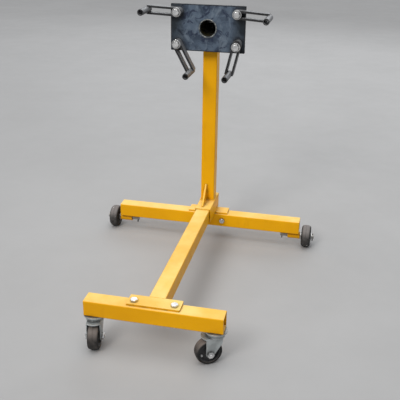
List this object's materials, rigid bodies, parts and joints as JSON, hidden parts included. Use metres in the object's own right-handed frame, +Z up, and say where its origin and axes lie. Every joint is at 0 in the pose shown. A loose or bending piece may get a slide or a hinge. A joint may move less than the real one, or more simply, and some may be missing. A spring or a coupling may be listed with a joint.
{
  "type": "engine stand",
  "caption": "Rolling engine stand with a T-shaped tube base, casters, a post and a turning head plate with slotted mounting arms.",
  "frame": {"origin": "on the floor at the centre of the footprint", "axes": "+Z up, -Y to the front where the head plate faces, +X to the right seen from the front"},
  "size_m": [0.817, 0.8996, 0.8865],
  "materials": {
    "yellow_paint": "golden yellow gloss paint, scuffed",
    "blue_paint": "dark slate blue paint, mottled",
    "black_paint": "black satin paint with worn edges",
    "zinc_fasteners": "bright zinc plate",
    "zinc_sheet": "dull zinc plate",
    "rear_rubber": "grey-black moulded rubber",
    "caster_rubber": "black rubber, worn tread",
    "dark_core": "moulded dark grey",
    "bush_steel": "bare steel",
    "black_plastic": "moulded black"
  },
  "bodies": {
    "frame": {"rear_cross_tube": "yellow_paint", "base_angle": "yellow_paint", "saddle_channel": "yellow_paint", "centre_tube": "yellow_paint", "post_tube": "yellow_paint", "post_gusset": "yellow_paint", "collar_sleeve": "yellow_paint", "index_boss": "yellow_paint", "front_cross_bar": "yellow_paint", "flange_plate": "yellow_paint", "flange_bolts": "zinc_fasteners", "flange_nuts": "zinc_fasteners", "base_bolts": "zinc_fasteners", "base_nuts": "zinc_fasteners", "axle_sleeves": "yellow_paint", "rear_axles": "zinc_fasteners", "rear_wheel_washers": "zinc_fasteners", "rear_split_pins": "zinc_fasteners", "caster_plate_left": "zinc_sheet", "caster_plate_right": "zinc_sheet", "caster_kingpins": "zinc_fasteners"},
    "head": {"head_plate": "blue_paint", "pivot_tube": "blue_paint", "retaining_ring": "blue_paint"},
    "index_plunger": {"index_pin": "zinc_fasteners", "index_knob": "black_plastic"},
    "turning_handle": {"handle_bar": "zinc_fasteners", "handle_knobs": "black_plastic"},
    "rear_wheel_left": {"rear_tyre_left": "rear_rubber", "rear_hub_left": "dark_core", "rear_bush_left": "bush_steel"},
    "rear_wheel_right": {"rear_tyre_right": "rear_rubber", "rear_hub_right": "dark_core", "rear_bush_right": "bush_steel"},
    "caster_swivel_left": {"caster_fork_left": "zinc_sheet", "caster_axle_left": "zinc_fasteners", "caster_balls_left": "zinc_fasteners"},
    "caster_wheel_left": {"caster_tyre_left": "caster_rubber", "caster_hub_left": "dark_core"},
    "caster_swivel_right": {"caster_fork_right": "zinc_sheet", "caster_axle_right": "zinc_fasteners", "caster_balls_right": "zinc_fasteners"},
    "caster_wheel_right": {"caster_tyre_right": "caster_rubber", "caster_hub_right": "dark_core"},
    "arm_pivot_upper_left": {"arm_bolt_upper_left": "zinc_fasteners", "arm_fasteners_upper_left": "zinc_fasteners"},
    "arm_upper_left": {"arm_strap_upper_left": "black_paint", "arm_tube_upper_left": "black_paint"},
    "arm_pivot_upper_right": {"arm_bolt_upper_right": "zinc_fasteners", "arm_fasteners_upper_right": "zinc_fasteners"},
    "arm_upper_right": {"arm_strap_upper_right": "black_paint", "arm_tube_upper_right": "black_paint"},
    "arm_pivot_lower_left": {"arm_bolt_lower_left": "zinc_fasteners", "arm_fasteners_lower_left": "zinc_fasteners"},
    "arm_lower_left": {"arm_strap_lower_left": "black_paint", "arm_tube_lower_left": "black_paint"},
    "arm_pivot_lower_right": {"arm_bolt_lower_right": "zinc_fasteners", "arm_fasteners_lower_right": "zinc_fasteners"},
    "arm_lower_right": {"arm_strap_lower_right": "black_paint", "arm_tube_lower_right": "black_paint"}
  },
  "joints": [
    {"name": "rear_wheel_spin_left", "type": "hinge", "parent": "frame", "child": "rear_wheel_left", "pos_m": [-0.379, 0.37579, 0.0415], "axis": [1, 0, 0], "continuous": true},
    {"name": "rear_wheel_spin_right", "type": "hinge", "parent": "frame", "child": "rear_wheel_right", "pos_m": [0.379, 0.37579, 0.0415], "axis": [1, 0, 0], "continuous": true},
    {"name": "caster_swivel_turn_left", "type": "hinge", "parent": "frame", "child": "caster_swivel_left", "pos_m": [-0.178, -0.38821, 0.09], "axis": [0, 0, 1], "continuous": true},
    {"name": "caster_wheel_spin_left", "type": "hinge", "parent": "caster_swivel_left", "child": "caster_wheel_left", "pos_m": [-0.17418, -0.40987, 0.039], "axis": [0.9848, 0.1736, 0], "continuous": true},
    {"name": "caster_swivel_turn_right", "type": "hinge", "parent": "frame", "child": "caster_swivel_right", "pos_m": [0.178, -0.38821, 0.09], "axis": [0, 0, 1], "continuous": true},
    {"name": "caster_wheel_spin_right", "type": "hinge", "parent": "caster_swivel_right", "child": "caster_wheel_right", "pos_m": [0.15895, -0.39921, 0.039], "axis": [0.5, -0.866, 0], "continuous": true},
    {"name": "head_turn", "type": "hinge", "parent": "frame", "child": "head", "pos_m": [0, 0.36379, 0.81], "axis": [0, -1, 0], "continuous": true},
    {"name": "index_pin_slide", "type": "slide", "parent": "frame", "child": "index_plunger", "axis": [0, 0, 1], "range_m": [-0.009, 0]},
    {"name": "handle_bar_slide", "type": "slide", "parent": "head", "child": "turning_handle", "axis": [1, 0, 0], "range_m": [-0.043, 0.103]},
    {"name": "arm_swing_upper_left", "type": "hinge", "parent": "head", "child": "arm_pivot_upper_left", "pos_m": [-0.101, 0.28879, 0.862], "axis": [0, -1, 0], "range_deg": [-180, 60]},
    {"name": "arm_slide_upper_left", "type": "slide", "parent": "arm_pivot_upper_left", "child": "arm_upper_left", "axis": [-0.9992, 0, 0.0401], "range_m": [-0.07, 0.003]},
    {"name": "arm_swing_upper_right", "type": "hinge", "parent": "head", "child": "arm_pivot_upper_right", "pos_m": [0.101, 0.28879, 0.862], "axis": [0, -1, 0], "range_deg": [-60, 180]},
    {"name": "arm_slide_upper_right", "type": "slide", "parent": "arm_pivot_upper_right", "child": "arm_upper_right", "axis": [0.9977, 0, -0.068], "range_m": [-0.07, 0]},
    {"name": "arm_swing_lower_left", "type": "hinge", "parent": "head", "child": "arm_pivot_lower_left", "pos_m": [-0.101, 0.28879, 0.758], "axis": [0, -1, 0], "range_deg": [-150, 120]},
    {"name": "arm_slide_lower_left", "type": "slide", "parent": "arm_pivot_lower_left", "child": "arm_lower_left", "axis": [0.4741, 0, -0.8805], "range_m": [-0.07, 0.001]},
    {"name": "arm_swing_lower_right", "type": "hinge", "parent": "head", "child": "arm_pivot_lower_right", "pos_m": [0.101, 0.28879, 0.758], "axis": [0, -1, 0], "range_deg": [-140, 140]},
    {"name": "arm_slide_lower_right", "type": "slide", "parent": "arm_pivot_lower_right", "child": "arm_lower_right", "axis": [-0.2334, 0, -0.9724], "range_m": [-0.062, 0.008]}
  ]
}
